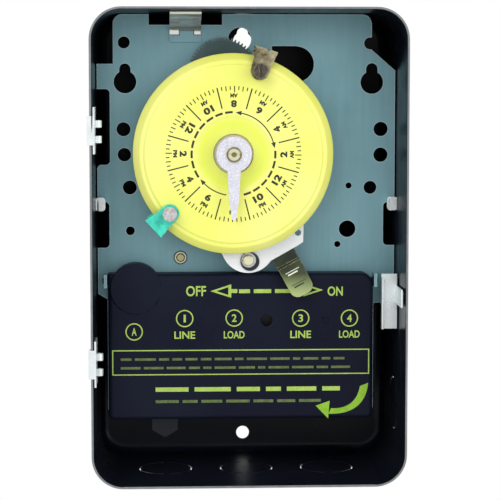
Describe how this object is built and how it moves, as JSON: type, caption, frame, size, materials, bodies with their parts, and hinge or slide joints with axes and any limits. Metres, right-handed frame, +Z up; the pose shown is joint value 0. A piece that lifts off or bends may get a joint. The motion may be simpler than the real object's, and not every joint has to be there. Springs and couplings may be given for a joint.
{
  "type": "programmable timer",
  "caption": "Mechanical 24-hour time switch in a deep steel case: day dial with ON and OFF trippers, manual lever, lift-up cover over the terminals.",
  "frame": {"origin": "centre of the case's flat outer back, where it meets the wall", "axes": "+Z up along the length of the case, +Y into the wall, +X to the right as seen from the open front; the front faces -Y"},
  "size_m": [0.1289, 0.0689, 0.194],
  "materials": {
    "case_enamel": "gloss dark grey enamel",
    "zinc_plate": "blue-grey zinc plate",
    "bright_zinc": "bright zinc plate",
    "nickel": "bright nickel plate",
    "bright_steel": "bright cold-rolled steel",
    "dark_spring": "blued spring steel",
    "dial_yellow": "yellow enamelled aluminium",
    "pointer_silver": "satin anodised",
    "tripper_green": "turquoise-green enamel",
    "tripper_brass": "antique brass, darkened",
    "knurl_steel": "plated, knurled",
    "knurl_dark": "blackened, knurled",
    "lever_brass": "olive dichromate over steel",
    "brass": "natural brass",
    "gear_steel": "dull zinc plate",
    "navy_board": "navy fibre board",
    "phenolic": "dark brown phenolic",
    "nylon": "natural nylon",
    "motor_steel": "plated steel can",
    "lamination": "stacked silicon steel",
    "coil_tape": "varnished tape over the winding",
    "ground_green": "green zinc dye",
    "screw_cream": "yellow zinc plate",
    "contact_copper": "phosphor bronze"
  },
  "bodies": {
    "frame": {"case_shell": "case_enamel", "hinge_clip_upper": "bright_zinc", "hinge_clip_lower": "bright_zinc", "latch_base": "bright_zinc", "latch_rivets": "bright_steel", "ground_screw": "ground_green", "clip_anchor": "zinc_plate", "mounting_plate": "zinc_plate", "plate_rivets": "brass", "centre_post": "bright_steel", "dial_spring": "dark_spring", "wheel_arbor": "bright_steel", "arbor_clip": "dark_spring", "motor_gearbox": "motor_steel", "motor_can": "motor_steel", "motor_stator": "lamination", "motor_coil": "coil_tape", "motor_screws": "bright_steel", "pointer": "pointer_silver", "pointer_screw": "bright_steel", "detent_spring": "dark_spring", "bridge_plate": "bright_steel", "spring_washer": "dark_spring", "bridge_screw": "screw_cream", "terminal_block": "phenolic", "clock_terminal": "brass", "line_terminal_left": "brass", "line_terminal_right": "brass", "load_terminal_left": "brass", "load_terminal_right": "brass", "terminal_screws": "bright_steel", "block_screws": "bright_steel"},
    "latch": {"door_latch": "bright_zinc"},
    "clip": {"release_clip": "nickel"},
    "bush": {"dial_bush": "brass"},
    "clock_dial": {"dial": "dial_yellow", "dial_hub": "nylon", "dial_gear": "gear_steel"},
    "on_tripper": {"tripper_on": "tripper_green"},
    "on_thumbscrew": {"tripper_on_screw": "knurl_steel"},
    "off_tripper": {"tripper_off": "tripper_brass"},
    "off_thumbscrew": {"tripper_off_screw": "knurl_dark"},
    "gear_train": {"time_wheel": "gear_steel", "wheel_pinion": "brass"},
    "motor_output": {"motor_pinion": "brass"},
    "lever": {"manual_lever": "lever_brass", "lever_shaft": "bright_steel", "trip_arm": "zinc_plate", "switch_cam": "nylon"},
    "lifter": {"contact_lifter": "nylon"},
    "left_blade": {"contact_blade_left": "contact_copper"},
    "right_blade": {"contact_blade_right": "contact_copper"},
    "cover": {"insulator": "navy_board"}
  },
  "joints": [
    {"name": "dial_pull", "type": "slide", "parent": "frame", "child": "bush", "axis": [0, -1, 0], "range_m": [0, 0.004], "stiffness_N_per_m": 800, "springref_m": -0.004, "deforming": ["dial_spring"]},
    {"name": "dial_turn", "type": "hinge", "parent": "bush", "child": "clock_dial", "pos_m": [-0.0061, -0.05, 0.038], "axis": [0, -1, 0], "continuous": true},
    {"name": "wheel_turn", "type": "hinge", "parent": "frame", "child": "gear_train", "pos_m": [-0.00972, -0.045, 0.07105], "axis": [0, -1, 0], "continuous": true},
    {"name": "motor_turn", "type": "hinge", "parent": "frame", "child": "motor_output", "pos_m": [-0.00097, -0.04, 0.0559], "axis": [0, -1, 0], "continuous": true},
    {"name": "tripper_on_set", "type": "hinge", "parent": "clock_dial", "child": "on_tripper", "pos_m": [-0.0061, -0.056, 0.038], "axis": [0, -1, 0], "range_deg": [-65, 65]},
    {"name": "tripper_on_screw_turn", "type": "hinge", "parent": "on_tripper", "child": "on_thumbscrew", "pos_m": [-0.032, -0.06, 0.01402], "axis": [0, -1, 0], "continuous": true},
    {"name": "tripper_off_set", "type": "hinge", "parent": "clock_dial", "child": "off_tripper", "pos_m": [-0.0061, -0.056, 0.038], "axis": [0, -1, 0], "range_deg": [-65, 65]},
    {"name": "tripper_off_screw_turn", "type": "hinge", "parent": "off_tripper", "child": "off_thumbscrew", "pos_m": [0.00457, -0.06, 0.07165], "axis": [0, -1, 0], "continuous": true},
    {"name": "lever_turn", "type": "hinge", "parent": "frame", "child": "lever", "pos_m": [0.0083, -0.046, 0.0085], "axis": [0, 1, 0], "range_deg": [0, 20]},
    {"name": "contact_lift", "type": "slide", "parent": "frame", "child": "lifter", "axis": [0, 0, -1], "range_m": [0, 0.0016]},
    {"name": "left_contact_flex", "type": "hinge", "parent": "frame", "child": "left_blade", "pos_m": [-0.0036, -0.0443, -0.02465], "axis": [0, -1, 0], "range_deg": [0, 7.51]},
    {"name": "right_contact_flex", "type": "hinge", "parent": "frame", "child": "right_blade", "pos_m": [0.0441, -0.0443, -0.02465], "axis": [0, -1, 0], "range_deg": [0, 7.51]},
    {"name": "insulator_lift", "type": "hinge", "parent": "frame", "child": "cover", "pos_m": [0, -0.046, -0.0145], "axis": [-1, 0, 0], "range_deg": [0, 20]},
    {"name": "release_clip_flex", "type": "hinge", "parent": "frame", "child": "clip", "pos_m": [-0.02535, -0.0388, 0.0872], "axis": [1, 0, 0], "range_deg": [0, 8], "stiffness_Nm_per_rad": 0.01},
    {"name": "latch_flex", "type": "hinge", "parent": "frame", "child": "latch", "pos_m": [0.062, -0.0387, -0.0232], "axis": [0, 0, -1], "range_deg": [0, 5], "stiffness_Nm_per_rad": 0.02}
  ],
  "couplings": [
    {"joint": "wheel_turn", "follows": "dial_turn", "ratio": -6},
    {"joint": "motor_turn", "follows": "dial_turn", "ratio": 24},
    {"joint": "contact_lift", "follows": "lever_turn", "m_per_rad": 0.0045837},
    {"joint": "left_contact_flex", "follows": "lever_turn", "ratio": 0.37571},
    {"joint": "right_contact_flex", "follows": "lever_turn", "ratio": 0.37571}
  ]
}
